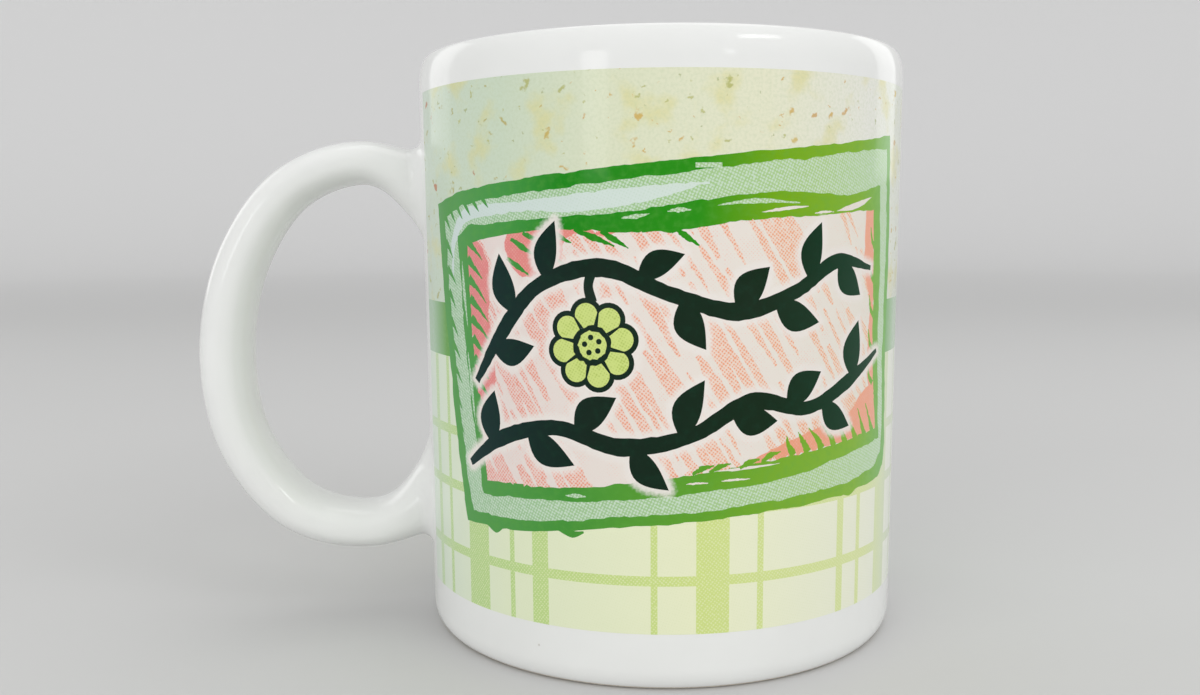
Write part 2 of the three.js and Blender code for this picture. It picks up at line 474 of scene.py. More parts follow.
def skin_point(share, turn, extra=0.0):
    """A point of the handle's skin, moved out by extra. turn goes round the bar."""
    (reach, height), slope = along(HANDLE_LINE, share)
    length = math.hypot(*slope)
    out_r, out_z = -slope[1] / length, slope[0] / length
    across = squared(math.sin(turn)) * (bar_half_thickness(share) + extra)
    aside = squared(math.cos(turn)) * (BAR_HALF_WIDTH + extra)
    return Vector((-(reach + out_r * across), aside, height + out_z * across))


def share_at_wall(turn, upper, from_wall, extra=0.0):
    """The share of the centreline at which the skin is from_wall outside the wall, near one root."""
    near, far = (0.0, 0.2) if upper else (1.0, 0.8)
    for _ in range(16):
        middle = (near + far) / 2
        point = skin_point(middle, turn, extra)
        if math.hypot(point.x, point.y) - wall_radius(point.z) < from_wall:
            near = middle
        else:
            far = middle
    return far


def to_row(point):
    return (point.x + AXIS_X, point.y, point.z)


def make_handle():
    """Rings of the skin, from just inside the wall at one root to the other."""
    points = []
    for side in range(BAR_SIDES):
        turn = 2 * math.pi * side / BAR_SIDES
        start = share_at_wall(turn, True, -BAR_BURIED)
        end = share_at_wall(turn, False, -BAR_BURIED)
        for step in range(BAR_STEPS + 1):
            points.append(to_row(skin_point(start + (end - start) * step / BAR_STEPS, turn)))
    count = BAR_STEPS + 1
    faces = []
    for side in range(BAR_SIDES):
        here, there = side * count, (side + 1) % BAR_SIDES * count
        for step in range(BAR_STEPS):
            faces.append((here + step, here + step + 1, there + step + 1, there + step))
    faces.append([side * count for side in range(BAR_SIDES)])
    faces.append([side * count + BAR_STEPS for side in reversed(range(BAR_SIDES))])
    material = glaze("handle_glaze", HANDLE_TINT)
    finish_piece("loop_handle", points, faces, [material], "handle")


def make_slip_joint(name, upper, node, material):
    """A concave fillet round one root, from just under the bar's skin to just under the wall's."""
    section = [(-SLIP_UNDER, -SLIP_UNDER)]
    for step in range(SLIP_STEPS + 1):
        angle = math.radians(90 * step / SLIP_STEPS)
        from_bar = SLIP_FILLET * (1 - math.sin(angle)) - SLIP_SUNK
        from_wall = SLIP_FILLET * (1 - math.cos(angle)) - SLIP_SUNK
        section.append((from_bar, from_wall))
    count = len(section)
    points = []
    faces = []
    for side in range(BAR_SIDES):
        turn = 2 * math.pi * side / BAR_SIDES
        for from_bar, from_wall in section:
            share = share_at_wall(turn, upper, from_wall, from_bar)
            points.append(to_row(skin_point(share, turn, from_bar)))
        here, there = side * count, (side + 1) % BAR_SIDES * count
        for k in range(count):
            after = (k + 1) % count
            face = (here + k, here + after, there + after, there + k)
            faces.append(face if upper else face[::-1])
    finish_piece(name, points, faces, [material], node)


make_cup()
make_handle()
slip_glaze = glaze("slip_glaze", HANDLE_TINT)
make_slip_joint("upper_slip_fillet", True, "upper_slip_joint", slip_glaze)
make_slip_joint("lower_slip_fillet", False, "lower_slip_joint", slip_glaze)

# ---- the print's artwork
# All in millimetres: u along the wall and v up it.

RIBBON_LOW, RIBBON_HIGH = 47.8, 56.3
SETT = 75.3
SETT_STRIPES = [
    (-39.6, 5.0), (-30.0, 0.9), (-25.7, 2.8), (-7.0, 1.0),
    (-0.3, 5.0), (9.1, 1.0), (24.2, 1.5), (29.3, 1.0),
]
CROSS_STRIPES = [16.9, 27.3, 36.1]
CROSS_WIDTH = 1.5
PANEL_REPEAT = 137.8
PANEL_SEED = 11

# The panel's nested outlines, each from its top left corner towards the right.
PANEL_OUTER = [
    (-47.5, 71.7), (-39.2, 73.7), (-24.2, 75.3), (0, 77.7), (23.3, 80), (38.3, 81.8),
    (39.3, 68), (38.7, 48), (39.7, 33), (38.9, 29.6), (36.6, 28), (25.8, 27.2), (10.8, 26.6),
    (-10, 25), (-26.7, 22.8), (-40, 22.2), (-41.5, 29.3), (-43, 37.7), (-44.2, 46), (-45.8, 56.4),
]
PANEL_BORDER = [
    (-44.9, 69.4), (-39, 71.6), (-24.2, 73.2), (0, 75.9), (23.3, 78.5), (36.9, 79.6),
    (37.7, 68), (37.2, 48), (38, 34.6), (37.3, 31.8), (35, 30.2), (25.8, 28.9), (10.8, 28),
    (-10, 26.4), (-26.7, 24.5), (-38.4, 24.1), (-39.7, 30), (-41.2, 38), (-42.4, 47), (-43.6, 57),
]
PANEL_FRAME = [
    (-40.8, 66.8), (-37, 68.5), (-24, 69.3), (-10, 70.2), (2, 72), (12, 73), (25, 72.4), (34.4, 74),
    (35.3, 62), (35.1, 48), (36.6, 34.4), (24, 33), (12, 31), (0, 30.1), (-18, 28.3),
    (-35.7, 27.3), (-36.6, 33), (-38.2, 41), (-39.6, 52),
]
PANEL_FIELD = [
    (-38.1, 65.6), (-31, 66.9), (-21, 67.9), (-12, 67.3), (-3, 67.4), (6, 68.9), (18, 69.4), (32.4, 70.3),
    (32.9, 58), (33.3, 47), (34.9, 36.3), (24, 35.4), (12, 34.4), (4, 33.3), (-6, 31.9), (-20, 30.1),
    (-34.6, 29.5), (-35.4, 37), (-36.9, 47), (-37.8, 57),
]

# Solid patches of colour at the field's left, top, right and lower right.
BLUSHES = [
    [(-38.4, 66), (-34.6, 65.4), (-33, 60), (-33.4, 55),
     (-32.2, 49), (-32.6, 44), (-34.4, 39.6), (-36, 40)],
    [(-30, 66), (-26, 68.6), (-10.5, 68.4), (-13, 66.9),
     (-19.4, 66.6), (-20.4, 62.2), (-24, 60.8), (-28, 62)],
    [(30.4, 70.6), (33, 70.6), (34, 43), (32.4, 42), (31.2, 48), (31.9, 55), (30, 61), (29.9, 66)],
    [(8, 34), (14, 36.6), (20, 38.3), (25, 39.2), (29, 41.6), (33, 43.4), (35.6, 42), (35.6, 35)],
]

# Brush strokes of light on the border, as points, widths and roughness.
BORDER_LIGHTS = [
    ([(-42.6, 60), (-41.8, 66.5), (-38.6, 69.8), (-30, 70.9), (-25, 71.2)],
     [0.2, 1.4, 2.0, 1.6, 1.3], 0.1),
    ([(-25.5, 71.2), (-17, 71.6), (-8, 72.6), (1.4, 74.2)], [1.5, 2.7, 2.2, 0.2], 0.08),
]
BORDER_NOTCH = (-0.6, 3.2, 76.2, 76.9)

# Slits in the frame: those that show the border's dots, and pale ones with their widths.
DOTTED_SLITS = [
    [(2.5, 71), (8, 71.6), (15.5, 71.3)],
    [(-11, 69.3), (-9, 69.5), (-7, 69.9)],
    [(-4.5, 70.2), (-3, 70.4), (-1.2, 70.4)],
    [(-39.7, 63), (-39.3, 58), (-38.6, 53)],
    [(-38.7, 49), (-38, 44), (-37.2, 38)],
    [(35.6, 57), (35.7, 50), (35.9, 42)],
    [(-19.8, 29), (-18.2, 29.1), (-16.6, 29.1)],
]
PALE_SLITS = [
    ([(9.2, 70), (13, 70.5), (17, 70.8)], 0.5),
    ([(18.2, 69.8), (20, 70), (22, 70)], 0.35),
    ([(22.6, 70.1), (27.5, 71), (31.6, 72.2)], 0.9),
    ([(-1.8, 31.3), (-0.2, 31.4), (1.4, 31.4)], 0.3),
    ([(3.4, 31.6), (5.5, 31.7), (7.8, 31.7)], 0.35),
    ([(2.4, 33.1), (7, 33.3), (12.6, 33.6)], 0.4),
]

# Where ink runs over the outer line's lower edge, as start, end and height.
RUNS = [(-35, -31.5, 21.9), (-21.5, -17, 23.1), (24, 29, 27.1)]

# Tufts of green. Those that hang from the frame's top are u, v and reach.
HANGING_TUFTS = [
    (-28.6, 66.4, 4.4), (-26.4, 67.3, 5.4), (-23, 68.2, 4.6), (-29.4, 63.6, 4),
    (-20.5, 63.4, 3.2), (-18, 67.8, 6), (-14, 67.5, 4), (-3.4, 67.8, 3.4),
]
FOOT_TUFTS = [(-8, 31.6), (0.5, 33), (3, 33.2), (7.6, 33.6), (11, 34.4)]

HATCH_MIDDLE = (-2.0, 49.0)
HATCH_SLANT = -57
HATCH_HALF = 48.0
HATCH_START = (-36, -22)
HATCH_END = 34
HATCH_LENGTH = (10, 30)
HATCH_WIDTH = (0.8, 2.5)
HATCH_GAP = (0.8, 3)
HATCH_STEP = (1.3, 2.4)

VINES = [
    [(-36.5, 44.8), (-30.5, 52.8), (-24, 59.6), (-14, 62.4), (-4, 58.6),
     (6, 56), (15, 58.6), (23, 62.8), (31.8, 61.5)],
    [(-38.6, 31.8), (-31, 36.6), (-21.5, 39), (-11, 36.6), (-1, 38.4),
     (8, 43), (17.5, 41.4), (26, 44.6), (34.6, 48.6)],
]
VINE_WIDTHS = [1.2, 2.5, 2.2, 2.7, 2.1, 2.6, 2.0, 2.3, 0.7]

# Each vine's leaves as a share of its stem and a side.
VINE_LEAVES = [
    [(0.08, -1), (0.17, 1), (0.27, 1), (0.44, 1), (0.52, -1), (0.62, 1), (0.7, -1), (0.79, 1), (0.88, -1)],
    [(0.09, 1), (0.19, -1), (0.29, 1), (0.39, -1), (0.48, 1), (0.58, -1), (0.7, 1), (0.79, -1), (0.89, 1)],
]
STALK = [(-15.4, 61.8), (-15.9, 59.8), (-15.4, 57.5)]
STALK_WIDTHS = [1.5, 1.4, 1.6]
BLOSSOM_MIDDLE = (-15.4, 51.3)
BLOSSOM_RADIUS = 6.9
BLOSSOM_LINE = 0.75
PETALS = 8
PETAL_ROOT = 1.2
PETAL_WIDTH = 4.9
PETAL_INNER_WIDTH = 3.4
EYE_RADIUS = 2.9
EYE_INNER_RADIUS = 2.1
SEEDS = 5
SEED_RING = 1.15
SEED_RADIUS = 0.42


def towards(degrees):
    """The direction at an angle from the u axis, one unit long."""
    return np.array((math.cos(math.radians(degrees)), math.sin(math.radians(degrees))))


def roughened(outline, amount, draws, step=0.8):
    """The outline with its sides broken up and pushed in and out a little, as a hand-inked edge is."""
    result = []
    push = 0.0
    for first, second in zip(outline, outline[1:] + outline[:1]):
        length = math.dist(first, second)
        count = max(1, round(length / step))
        aside = ((second[1] - first[1]) / length, (first[0] - second[0]) / length)
        for k in range(count):
            share = k / count
            push = 0.55 * push + draws.gauss(0, amount)
            result.append(tuple(a + (b - a) * share + push * c for a, b, c in zip(first, second, aside)))
    return result


def rounded(outline, step=1.5):
    """A closed smooth curve through the outline's points."""
    loop = outline[-1:] + outline + outline[:2]
    count = max(12, round(sum(math.dist(a, b) for a, b in zip(outline, outline[1:])) / step))
    first, last = 1 / (len(loop) - 1), 1 - 1 / (len(loop) - 1)
    return [tuple(along(loop, first + (last - first) * k / count)[0]) for k in range(count)]


def brush(points, widths, draws=None, rough=0.05, step=0.8):
    """A brush stroke's outline along a smooth curve, with its widths spread evenly along it."""
    count = max(14, round(sum(math.dist(a, b) for a, b in zip(points, points[1:])) / step))
    left, right = [], []
    for k in range(count + 1):
        middle, slope = along(points, k / count)
        width = float(np.interp(k / count, np.linspace(0, 1, len(widths)), widths))
        aside = np.array((-slope[1], slope[0])) / np.hypot(*slope)
        halves = [width / 2 + (draws.gauss(0, rough) if draws else 0) for _ in range(2)]
        left.append(tuple(middle + aside * halves[0]))
        right.append(tuple(middle - aside * halves[1]))
    return left + right[::-1]


def leaf(base, heading, length, width, bend):
    """An almond leaf from its base towards a heading in degrees."""
    across = towards(heading)
    aside = np.array((-across[1], across[0]))
    left, right = [], []
    steps = 12
    for k in range(steps + 1):
        share = k / steps
        bent = aside * bend * length * math.sin(math.pi * share)
        middle = np.array(base) + across * length * share + bent
        half = aside * width / 2 * math.sin(math.pi * share**0.85)
        left.append(tuple(middle + half))
        right.append(tuple(middle - half))
    return left + right[::-1][1:-1]


def disc(middle, radius, draws=None, rough=0.0, steps=36):
    points = []
    for k in range(steps):
        reach = radius + (draws.gauss(0, rough) if draws else 0)
        turn = 2 * math.pi * k / steps
        points.append((middle[0] + reach * math.cos(turn), middle[1] + reach * math.sin(turn)))
    return points


def band(start, end, low, high):
    return [(start, low), (end, low), (end, high), (start, high)]


def outset(outline, distance):
    """The outline with each point moved outwards."""
    points = np.array(outline)
    before, after = np.roll(points, 1, axis=0), np.roll(points, -1, axis=0)
    area = np.sum(points[:, 0] * after[:, 1] - after[:, 0] * points[:, 1])
    slope = after - before
    aside = np.stack([slope[:, 1], -slope[:, 0]], axis=1) * math.copysign(1, area)
    aside /= np.maximum(np.hypot(aside[:, 0], aside[:, 1]), 1e-9)[:, None]
    return [tuple(point) for point in points + aside * distance]


class Artwork:
    """Inked outlines, each laid over those before it. A shape may be kept within another outline."""

    def __init__(self):
        self.shapes = []
        self.glowing = []
        self.shift = 0.0

    def moved(self, outline):
        return [(u + self.shift, v) for u, v in outline]

    def lay(self, ink, outline, within=None):
        self.shapes.append((ink, self.moved(outline), self.moved(within) if within else None))

    def glow(self, outline):
        """Notes an outline that the inks round it fade away from."""
        self.glowing.append(self.moved(outline))


def draw_grounds(art):
    """The speckled paper, the ribbon below it and the plaid, all the way round."""
    plaid = band(PRINT_START, PRINT_END, PRINT_BOTTOM, RIBBON_LOW)
    art.lay("speckled_paper", band(PRINT_START, PRINT_END, RIBBON_HIGH, PRINT_TOP))
    art.lay("green_ribbon", band(PRINT_START, PRINT_END, RIBBON_LOW, RIBBON_HIGH))
    art.lay("plaid_ground", plaid)
    for repeat in range(-1, 4):
        for start, width in SETT_STRIPES:
            stripe = band(start + repeat * SETT, start + width + repeat * SETT, PRINT_BOTTOM, RIBBON_LOW)
            art.lay("plaid_stripes", stripe, plaid)
    for middle in CROSS_STRIPES:
        stripe = band(PRINT_START, PRINT_END, middle - CROSS_WIDTH / 2, middle + CROSS_WIDTH / 2)
        art.lay("plaid_stripes", stripe)


def draw_thorns(art, draws):
    """Green thorns that point into the border from its left side and top left corner."""
    for k in range(9):
        v = 68.4 - 3.9 * k + draws.uniform(-0.4, 0.4)
        u = -45.0 + 0.085 * (68 - v)
        reach = draws.uniform(1.8, 2.8)
        points = [(u, v + 1.4), (u + reach * 0.5, v + 0.3), (u + reach, v - 1.2)]
        art.lay("frame_green", brush(points, [1.3, 0.7, 0.1]))
    for k in range(5):
        u = -42.6 + 2.1 * k
        points = [(u - 1, 71.8 + 0.4 * k), (u + 0.4, 69.9 + 0.5 * k), (u + 1.2, 68.8 + 0.55 * k)]
        art.lay("frame_green", brush(points, [0.9, 0.6, 0.1]))


def draw_frame(art, draws):
    """The panel's outer line, its dotted border and its inner frame."""
    art.lay("frame_green", roughened(PANEL_OUTER, 0.06, draws))
    art.lay("dotted_border", roughened(PANEL_BORDER, 0.1, draws))
    for points, widths, rough in BORDER_LIGHTS:
        art.lay("border_light", brush(points, widths, draws, rough))
    draw_thorns(art, draws)
    art.lay("dotted_border", band(*BORDER_NOTCH))
    art.lay("frame_green", roughened(PANEL_FRAME, 0.08, draws))
    for slit in DOTTED_SLITS:
        art.lay("dotted_border", brush(slit, [0.1, 0.75, 0.1], draws, 0.04))
    for slit, width in PALE_SLITS:
        art.lay("panel_field", brush(slit, [0.08, width, width * 0.9, 0.08], draws, 0.03))
    for start, end, v in RUNS:
        points = [(start, v + 0.9), (start * 0.4 + end * 0.6, v + 0.2), (end, v - 0.25 + 0.9)]
        art.lay("frame_green", brush(points, [0.4, 1.1, 0.3]))


def draw_hatching(art, draws):
    """Slanting strokes over the field, broader and closer towards the left."""
    run = towards(HATCH_SLANT)
    across = np.array((-run[1], run[0]))
    middle = np.array(HATCH_MIDDLE)
    offset = -HATCH_HALF
    while offset < HATCH_HALF:
        share = (offset + HATCH_HALF) / (2 * HATCH_HALF)
        place = draws.uniform(*HATCH_START)
        while place < HATCH_END:
            length = draws.uniform(*HATCH_LENGTH)
            width = draws.uniform(*HATCH_WIDTH) * (1.2 - 0.5 * share)
            if draws.random() < 0.95 - 0.25 * share:
                points = []
                for part in (0, 0.5, 1):
                    aside = across * (offset + draws.uniform(-0.5, 0.5))
                    points.append(middle + aside + run * (place + length * part))
                widths = [width * 0.4, width, width * 0.9, width * 0.3]
                art.lay("hatching", brush(points, widths, draws, 0.07), PANEL_FIELD)
            place += length + draws.uniform(*HATCH_GAP)
        offset += draws.uniform(*HATCH_STEP) * (0.95 + 0.25 * share)


def draw_blushes(art, draws):
    """Solid patches of colour along the field's edges, with short tufts of green over them."""
    for outline in BLUSHES:
        art.lay("salmon_blush", roughened(rounded(outline), 0.12, draws), PANEL_FIELD)
    for k in range(9):
        v = 65.4 - 3 * k
        start = -38.4 + 0.07 * (65 - v)
        reach = draws.uniform(3.2, 4.8)
        tip = (start + reach, v - 2.2 + draws.uniform(-0.4, 0.3))
        points = [(start, v + 1), (start + reach * 0.5, v - 0.5), tip]
        art.lay("frame_green", brush(points, [1.5, 0.75, 0.12], draws))
    for u, v, reach in HANGING_TUFTS:
        points = [(u, v), (u + reach * 0.5, v - 1.2), (u + reach, v - 2.4)]
        art.lay("frame_green", brush(points, [0.5, 0.95, 0.15], draws))
    for k in range(5):
        v = 65.5 - 5.2 * k
        points = [(33.4, v - 1.2), (32.2, v), (31.6, v + 2.2)]
        art.lay("frame_green", brush(points, [1.0, 0.7, 0.12], draws))
    for k in range(8):
        u = 13.5 + 2.7 * k
        v = 35 + 0.16 * k
        lean = draws.uniform(0.6, 2.4)
        points = [(u + 1.5, v - 0.4), (u + 0.6, v + 1.2), (u - lean + 1, v + 2.5 + 0.28 * k)]
        art.lay("frame_green", brush(points, [1.3, 0.8, 0.12], draws))
    for u, v in FOOT_TUFTS:
        points = [(u - 1.4, v - 0.3), (u, v + 0.5), (u + 1.8, v + 0.9)]
        art.lay("frame_green", brush(points, [0.4, 0.9, 0.12], draws))


def vine_shapes(points, leaves, draws):
    """A vine's stem and its leaves."""
    shapes = [brush(points, VINE_WIDTHS, draws, 0.04)]
    for share, side in leaves:
        base, slope = along(points, share)
        heading = math.degrees(math.atan2(slope[1], slope[0])) + side * draws.uniform(42, 58)
        shapes.append(leaf(base, heading, draws.uniform(7.6, 9.4), draws.uniform(3.7, 4.5), 0.09 * side))
    return shapes


def petal(k, reach, width):
    """The blossom's petal number k, with a round end."""
    turn = 360 * (k + 0.25) / PETALS
    tip = np.array(BLOSSOM_MIDDLE) + towards(turn) * (reach - width / 2)
    root = np.array(BLOSSOM_MIDDLE) + towards(turn) * PETAL_ROOT
    ends = [tuple(tip + width / 2 * towards(turn + angle)) for angle in range(-90, 91, 15)]
    return [tuple(root)] + ends


def draw_motif(art, draws):
    """Two leafy vines and a blossom that hangs from the upper one."""
    shapes = []
    for points, leaves in zip(VINES, VINE_LEAVES):
        shapes += vine_shapes(points, leaves, draws)
    shapes.append(brush(STALK, STALK_WIDTHS))
    shapes += [petal(k, BLOSSOM_RADIUS, PETAL_WIDTH) for k in range(PETALS)]
    for outline in shapes:
        art.lay("dark_ink", outline)
        art.glow(outline)
    for k in range(PETALS):
        art.lay("blossom_lime", petal(k, BLOSSOM_RADIUS - BLOSSOM_LINE, PETAL_INNER_WIDTH))
    art.lay("dark_ink", disc(BLOSSOM_MIDDLE, EYE_RADIUS, draws, 0.08))
    art.lay("blossom_lime", disc(BLOSSOM_MIDDLE, EYE_INNER_RADIUS, draws, 0.06))
    for k in range(SEEDS):
        turn = 2 * math.pi * (k + 0.4) / SEEDS
        u = BLOSSOM_MIDDLE[0] + SEED_RING * math.cos(turn)
        v = BLOSSOM_MIDDLE[1] + SEED_RING * math.sin(turn)
        art.lay("dark_ink", disc((u, v), SEED_RADIUS, steps=12))


def draw_print():
    """The grounds, and the same panel on both sides of the mug."""
    art = Artwork()
    draw_grounds(art)
    for repeat in range(2):
        art.shift = PANEL_REPEAT * repeat
        draws = random.Random(PANEL_SEED)
        draw_frame(art, draws)
        art.lay("panel_field", roughened(PANEL_FIELD, 0.08, draws))
        draw_hatching(art, draws)
        draw_blushes(art, draws)
        draw_motif(art, draws)
    return art


# ---- the print's pieces

COLUMN = 1.5
ROW = 8.0
MEETING = 1e-4
GLOW_RINGS = (0.5, 1.0, 1.6, 2.2)
GLOW_SAMPLE = 0.15
FILM_PROUD = 0.03
FILM_SUNK = 0.06


def inside(outline, places):
    """Which places lie inside the outline, by its winding number."""
    corners = np.array(outline)
    near = np.nonzero(((places > corners.min(axis=0)) & (places < corners.max(axis=0))).all(axis=1))[0]
    u, v = places[near].T
    winding = np.zeros(len(near), int)
    for (u1, v1), (u2, v2) in zip(corners, np.roll(corners, -1, axis=0)):
        side = (u2 - u1) * (v - v1) - (u - u1) * (v2 - v1)
        winding += (v1 <= v) & (v2 > v) & (side > 0)
        winding -= (v1 > v) & (v2 <= v) & (side < 0)
    found = np.zeros(len(places), bool)
    found[near] = winding != 0
    return found


def grid_lines():
    """Lines up and along the print, close enough for its triangles to follow the round wall."""
    columns = round((PRINT_END - PRINT_START) / COLUMN)
    rows = round((PRINT_TOP - PRINT_BOTTOM) / ROW)
    across = np.linspace(PRINT_START, PRINT_END, columns + 1)
    up = np.linspace(PRINT_BOTTOM, PRINT_TOP, rows + 1)
    lines = [[(u, PRINT_BOTTOM), (u, PRINT_TOP)] for u in across]
    return lines + [[(PRINT_START, v), (PRINT_END, v)] for v in up]


def mosaic(art):
    """The flat print cut into triangles along every outline, with the uppermost ink of each."""
    points, edges = [], []
    rings = [outset(outline, reach) for outline in art.glowing for reach in GLOW_RINGS]
    for outline in grid_lines() + rings + [shape[1] for shape in art.shapes]:
        first = len(points)
        points += [Vector(point) for point in outline]
        edges += [(first + k, first + (k + 1) % len(outline)) for k in range(len(outline))]
    corners, _, triangles, *_ = delaunay_2d_cdt(points, edges, [], 0, MEETING, False)
    corners = np.array([tuple(corner) for corner in corners])
    triangles = np.array(triangles)
    a, b, c = (corners[triangles[:, k]] for k in range(3))
    area = (b[:, 0] - a[:, 0]) * (c[:, 1] - a[:, 1]) - (c[:, 0] - a[:, 0]) * (b[:, 1] - a[:, 1])
    triangles[area < 0] = triangles[area < 0][:, ::-1]
    middles = (a + b + c) / 3
    inks = np.full(len(triangles), "", object)
    for ink, outline, within in art.shapes:
        found = inside(outline, middles)
        if within:
            found &= inside(within, middles)
        inks[found] = ink
    inks[~inside(band(PRINT_START, PRINT_END, PRINT_BOTTOM, PRINT_TOP), middles)] = ""
    return corners, triangles, inks


def distances(outlines, places):
    """How far each place is from the nearest outline."""
    samples = []
    for outline in outlines:
        for first, second in zip(outline, outline[1:] + outline[:1]):
            count = max(1, round(math.dist(first, second) / GLOW_SAMPLE))
            for k in range(count):
                samples.append(tuple(a + (b - a) * k / count for a, b in zip(first, second)))
    tree = KDTree(len(samples))
    for k, (u, v) in enumerate(samples):
        tree.insert((u, v, 0), k)
    tree.balance()
    return np.array([tree.find((u, v, 0))[2] for u, v in places])


def film(name, corners, triangles, away, material):
    """One ink as a thin closed film bent round the wall, half sunk into the glaze."""
    used, local = np.unique(triangles, return_inverse=True)
    local = local.reshape(-1, 3)
    count = len(used)
    u, v = corners[used].T
    turn = u / TOP_RADIUS
    out = np.stack([np.sin(turn), -np.cos(turn)], axis=1)
    points = []
    for height in (FILM_PROUD, -FILM_SUNK):
        radius = wall_radius(v) + height
        points.append(np.column_stack([AXIS_X + out[:, 0] * radius, out[:, 1] * radius, v]))
    sides = {(a, b) for a, b, c in local} | {(b, c) for a, b, c in local} | {(c, a) for a, b, c in local}
    rim = sorted((a, b) for a, b in sides if (b, a) not in sides)
    faces = [tuple(face) for face in local]
    faces += [(c + count, b + count, a + count) for a, b, c in local]
    faces += [(a, a + count, b + count, b) for a, b in rim]
    mesh = bpy.data.meshes.new(name)
    mesh.from_pydata(np.concatenate(points) * MM, [], faces)
    smooth = np.ones(len(faces), bool)
    smooth[2 * len(local):] = False
    mesh.polygons.foreach_set("use_smooth", smooth)
    radial = np.zeros((len(mesh.loops), 3))
    radial[:3 * len(local), :2] = out[local.ravel()]
    mesh.normals_split_custom_set(radial)
    where = np.column_stack([np.tile(u, 2), np.tile(v, 2), np.zeros(2 * count)])
    mesh.attributes.new("print_mm", "FLOAT_VECTOR", "POINT").data.foreach_set("vector", where.ravel())
    far = np.tile(away[used], 2)
    mesh.attributes.new("from_motif_mm", "FLOAT", "POINT").data.foreach_set("value", far)
    mesh.materials.append(material)
    piece = new_object(name, mesh)
    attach(piece, "root")
    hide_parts("printed_wrap")


def make_print():
    art = draw_print()
    corners, triangles, inks = mosaic(art)
    away = distances(art.glowing, corners)
    for name, material in ink_materials().items():
        film(name, corners, triangles[inks == name], away, material)


# ---- inks

GRADIENT_START = -60.0
DOT_PITCH = 0.42
BORDER_PITCH = 0.45
BLUSH_PITCH = 0.4
DOT_SOFTNESS = 0.12
DOT_RAGGEDNESS = 0.8
PALE_PAPER = (236, 230, 224)


class Ink(Nodes):
    """A printed colour under clear gloss. Its patterns are laid out in the print's millimetres."""

    def __init__(self, name):
        super().__init__(name)
        self.at = self.add("ShaderNodeAttribute", attribute_name="print_mm").outputs["Vector"]
        self.v = self.add("ShaderNodeSeparateXYZ", {"Vector": self.at}).outputs["Y"]

    def gradient(self, *stops):
        """Blends stops of u and screen colour along the wall, and repeats with the panel. The stops hold the
        print's own colour change together with painted light as seen from the front: part of the change from
        left to right is painted light, and towards the wall's left and right edges in that view many inks
        turn paler and bluer in a painted reflection haze.
        """
        u = self.add("ShaderNodeSeparateXYZ", {"Vector": self.at}).outputs["X"]
        repeats = self.math("DIVIDE", self.math("SUBTRACT", u, GRADIENT_START), PANEL_REPEAT)
        stops = [((place - GRADIENT_START) / PANEL_REPEAT, srgb(*color)) for place, *color in stops]
        return self.ramp(self.math("FRACT", repeats), stops + [(1.0, stops[0][1])])

    def grain(self, scale, detail=2.0):
        return self.noise(scale, detail, self.at)

    def dots(self, pitch, angle, radius):
        """Ragged halftone dots as 1 on a dot and 0 off it. The radius is a share of the pitch."""
        turning = {"Vector": self.at, "Angle": math.radians(angle)}
        turned = self.add("ShaderNodeVectorRotate", turning, rotation_type="Z_AXIS")
        scaled = self.vector_math("SCALE", {0: turned.outputs[0], 3: 1 / pitch})
        cell = self.vector_math("FRACTION", {0: scaled.outputs[0]})
        reach = self.vector_math("DISTANCE", {0: cell.outputs[0], 1: (0.5, 0.5, 0.0)}).outputs["Value"]
        uneven = self.math("MULTIPLY_ADD", self.grain(2.6, 2), DOT_RAGGEDNESS, reach)
        from_edge = self.math("SUBTRACT", self.math("SUBTRACT", uneven, DOT_RAGGEDNESS / 2), radius)
        return self.between(from_edge, -DOT_SOFTNESS, DOT_SOFTNESS, 1.0, 0.0)

    def dotted(self, base, color, strength, dots):
        """The base colour with dots of another, laid over it at a strength from 0 to 1."""
        return self.mix(self.math("MULTIPLY", dots, strength), base, color)

    def faded(self, color):
        """The colour, fading to pale paper close to the motif."""
        away = self.add("ShaderNodeAttribute", attribute_name="from_motif_mm").outputs["Fac"]
        ragged = self.math("ADD", away, self.math("SUBTRACT", self.grain(2.2, 3), 0.5))
        return self.mix(self.between(ragged, 0.3, 1.5, 0.92, 0.0), color, srgb(*PALE_PAPER))

    def finish(self, color):
        self.set("Base Color", color)
        self.set("Specular IOR Level", 0.22)
        self.gloss(0.08, 0.13)
        return self.material


def flecks(ink, color, scale, share, size, shades):
    """Lays small ragged flecks of mixed shades over a colour."""
    bend = ink.add("ShaderNodeTexNoise", {"Vector": ink.at, "Scale": scale * 2.2, "Detail": 3.0})
    push = (1.1 / scale,) * 3
    pushed = ink.vector_math("MULTIPLY_ADD", {0: bend.outputs["Color"], 1: push, 2: ink.at})
    layout = {"Vector": pushed.outputs[0], "Scale": scale}
    cells = ink.add("ShaderNodeTexVoronoi", layout, voronoi_dimensions="2D")
    chance, largeness, choice = ink.parts(cells.outputs["Color"])
    kept = ink.math("GREATER_THAN", chance, 1 - share)
    radius = ink.math("MULTIPLY", largeness, size)
    from_edge = ink.math("SUBTRACT", cells.outputs["Distance"], radius)
    near = ink.between(from_edge, -0.07, 0.06, 0.78, 0.0)
    shade = shades[0]
    for k, other in enumerate(shades[1:], start=1):
        shade = ink.mix(ink.math("GREATER_THAN", choice, k / len(shades)), shade, other)
    return ink.mix(ink.math("MULTIPLY", near, kept), color, shade)


